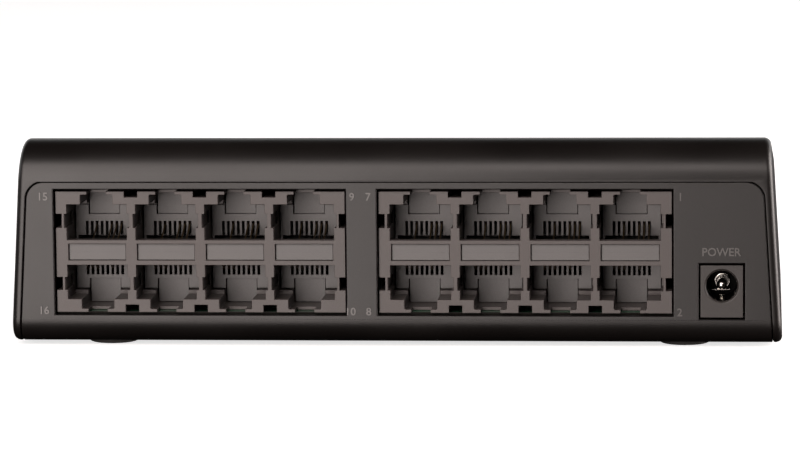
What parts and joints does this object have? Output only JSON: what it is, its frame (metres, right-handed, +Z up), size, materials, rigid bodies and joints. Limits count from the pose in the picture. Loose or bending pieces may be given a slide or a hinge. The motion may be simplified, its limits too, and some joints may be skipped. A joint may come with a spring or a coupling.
{
  "type": "desktop network switch",
  "caption": "Desktop network switch in a wedge-shaped plastic case, with two banks of stacked network sockets and a round power socket on its rear panel.",
  "frame": {"origin": "middle of the footprint, on the surface that the rubber feet stand on", "axes": "+X to the right along the port side as seen from it, +Y from the ports towards the indicator side, +Z up"},
  "size_m": [0.1552, 0.1, 0.0415],
  "materials": {
    "case_plastic": "dark grey moulded plastic with a fine spark-eroded texture",
    "jack_plastic": "black glass-filled polyester, satin",
    "insert_plastic": "black polyester, slightly lighter than the housing",
    "power_jack_plastic": "black nylon, satin",
    "contact_plating": "gold-flashed phosphor bronze wire",
    "power_plating": "bright nickel plating",
    "foot_rubber": "matt black rubber",
    "screw_steel": "zinc-plated steel",
    "board_laminate": "green solder mask",
    "lens_plastic": "smoked translucent plastic",
    "label_film": "blank silver polyester film",
    "heat_sink_aluminium": "black anodised extrusion",
    "can_metal": "drawn metal can",
    "chip_moulding": "black epoxy moulding"
  },
  "bodies": {
    "root": {"upper_cover": "case_plastic", "lower_case": "case_plastic", "indicator_lens": "lens_plastic", "circuit_board": "board_laminate", "rubber_foot_1": "foot_rubber", "rubber_foot_2": "foot_rubber", "rubber_foot_3": "foot_rubber", "rubber_foot_4": "foot_rubber", "case_screw_1": "screw_steel", "case_screw_2": "screw_steel", "case_screw_3": "screw_steel", "case_screw_4": "screw_steel", "board_screw_1": "screw_steel", "board_screw_2": "screw_steel", "rating_label": "label_film", "jack_housing_left": "jack_plastic", "jack_housing_right": "jack_plastic", "jack_insert_1": "insert_plastic", "jack_insert_2": "insert_plastic", "jack_insert_3": "insert_plastic", "jack_insert_4": "insert_plastic", "jack_insert_5": "insert_plastic", "jack_insert_6": "insert_plastic", "jack_insert_7": "insert_plastic", "jack_insert_8": "insert_plastic", "power_jack_housing": "power_jack_plastic", "power_jack_pin": "power_plating", "transformer_1": "chip_moulding", "transformer_2": "chip_moulding", "transformer_3": "chip_moulding", "transformer_4": "chip_moulding", "switch_chip": "chip_moulding", "heat_sink": "heat_sink_aluminium", "memory_chip": "chip_moulding", "crystal": "can_metal", "power_inductor": "chip_moulding", "regulator": "chip_moulding", "capacitor_1": "can_metal", "capacitor_2": "can_metal"},
    "port_15_contacts": {"port_15_contacts": "contact_plating"},
    "port_16_contacts": {"port_16_contacts": "contact_plating"},
    "port_13_contacts": {"port_13_contacts": "contact_plating"},
    "port_14_contacts": {"port_14_contacts": "contact_plating"},
    "port_11_contacts": {"port_11_contacts": "contact_plating"},
    "port_12_contacts": {"port_12_contacts": "contact_plating"},
    "port_09_contacts": {"port_09_contacts": "contact_plating"},
    "port_10_contacts": {"port_10_contacts": "contact_plating"},
    "port_07_contacts": {"port_07_contacts": "contact_plating"},
    "port_08_contacts": {"port_08_contacts": "contact_plating"},
    "port_05_contacts": {"port_05_contacts": "contact_plating"},
    "port_06_contacts": {"port_06_contacts": "contact_plating"},
    "port_03_contacts": {"port_03_contacts": "contact_plating"},
    "port_04_contacts": {"port_04_contacts": "contact_plating"},
    "port_01_contacts": {"port_01_contacts": "contact_plating"},
    "port_02_contacts": {"port_02_contacts": "contact_plating"},
    "power_jack_spring": {"power_jack_spring": "power_plating"}
  },
  "joints": [
    {"name": "port_15_flex", "type": "hinge", "parent": "root", "child": "port_15_contacts", "pos_m": [-0.05985, -0.0456, 0.02095], "axis": [-1, 0, 0], "range_deg": [0, 10], "stiffness_Nm_per_rad": 0.1},
    {"name": "port_16_flex", "type": "hinge", "parent": "root", "child": "port_16_contacts", "pos_m": [-0.05985, -0.0456, 0.01739], "axis": [1, 0, 0], "range_deg": [0, 10], "stiffness_Nm_per_rad": 0.1},
    {"name": "port_13_flex", "type": "hinge", "parent": "root", "child": "port_13_contacts", "pos_m": [-0.04589, -0.0456, 0.02095], "axis": [-1, 0, 0], "range_deg": [0, 10], "stiffness_Nm_per_rad": 0.1},
    {"name": "port_14_flex", "type": "hinge", "parent": "root", "child": "port_14_contacts", "pos_m": [-0.04589, -0.0456, 0.01739], "axis": [1, 0, 0], "range_deg": [0, 10], "stiffness_Nm_per_rad": 0.1},
    {"name": "port_11_flex", "type": "hinge", "parent": "root", "child": "port_11_contacts", "pos_m": [-0.03191, -0.0456, 0.02095], "axis": [-1, 0, 0], "range_deg": [0, 10], "stiffness_Nm_per_rad": 0.1},
    {"name": "port_12_flex", "type": "hinge", "parent": "root", "child": "port_12_contacts", "pos_m": [-0.03191, -0.0456, 0.01739], "axis": [1, 0, 0], "range_deg": [0, 10], "stiffness_Nm_per_rad": 0.1},
    {"name": "port_09_flex", "type": "hinge", "parent": "root", "child": "port_09_contacts", "pos_m": [-0.01794, -0.0456, 0.02095], "axis": [-1, 0, 0], "range_deg": [0, 10], "stiffness_Nm_per_rad": 0.1},
    {"name": "port_10_flex", "type": "hinge", "parent": "root", "child": "port_10_contacts", "pos_m": [-0.01794, -0.0456, 0.01739], "axis": [1, 0, 0], "range_deg": [0, 10], "stiffness_Nm_per_rad": 0.1},
    {"name": "port_07_flex", "type": "hinge", "parent": "root", "child": "port_07_contacts", "pos_m": [0.00545, -0.0456, 0.02095], "axis": [-1, 0, 0], "range_deg": [0, 10], "stiffness_Nm_per_rad": 0.1},
    {"name": "port_08_flex", "type": "hinge", "parent": "root", "child": "port_08_contacts", "pos_m": [0.00545, -0.0456, 0.01739], "axis": [1, 0, 0], "range_deg": [0, 10], "stiffness_Nm_per_rad": 0.1},
    {"name": "port_05_flex", "type": "hinge", "parent": "root", "child": "port_05_contacts", "pos_m": [0.01942, -0.0456, 0.02095], "axis": [-1, 0, 0], "range_deg": [0, 10], "stiffness_Nm_per_rad": 0.1},
    {"name": "port_06_flex", "type": "hinge", "parent": "root", "child": "port_06_contacts", "pos_m": [0.01942, -0.0456, 0.01739], "axis": [1, 0, 0], "range_deg": [0, 10], "stiffness_Nm_per_rad": 0.1},
    {"name": "port_03_flex", "type": "hinge", "parent": "root", "child": "port_03_contacts", "pos_m": [0.03338, -0.0456, 0.02095], "axis": [-1, 0, 0], "range_deg": [0, 10], "stiffness_Nm_per_rad": 0.1},
    {"name": "port_04_flex", "type": "hinge", "parent": "root", "child": "port_04_contacts", "pos_m": [0.03338, -0.0456, 0.01739], "axis": [1, 0, 0], "range_deg": [0, 10], "stiffness_Nm_per_rad": 0.1},
    {"name": "port_01_flex", "type": "hinge", "parent": "root", "child": "port_01_contacts", "pos_m": [0.04736, -0.0456, 0.02095], "axis": [-1, 0, 0], "range_deg": [0, 10], "stiffness_Nm_per_rad": 0.1},
    {"name": "port_02_flex", "type": "hinge", "parent": "root", "child": "port_02_contacts", "pos_m": [0.04736, -0.0456, 0.01739], "axis": [1, 0, 0], "range_deg": [0, 10], "stiffness_Nm_per_rad": 0.1},
    {"name": "power_spring_flex", "type": "hinge", "parent": "root", "child": "power_jack_spring", "pos_m": [0.06555, -0.041, 0.0082], "axis": [1, 0, 0], "range_deg": [0, 6], "stiffness_Nm_per_rad": 0.1}
  ]
}
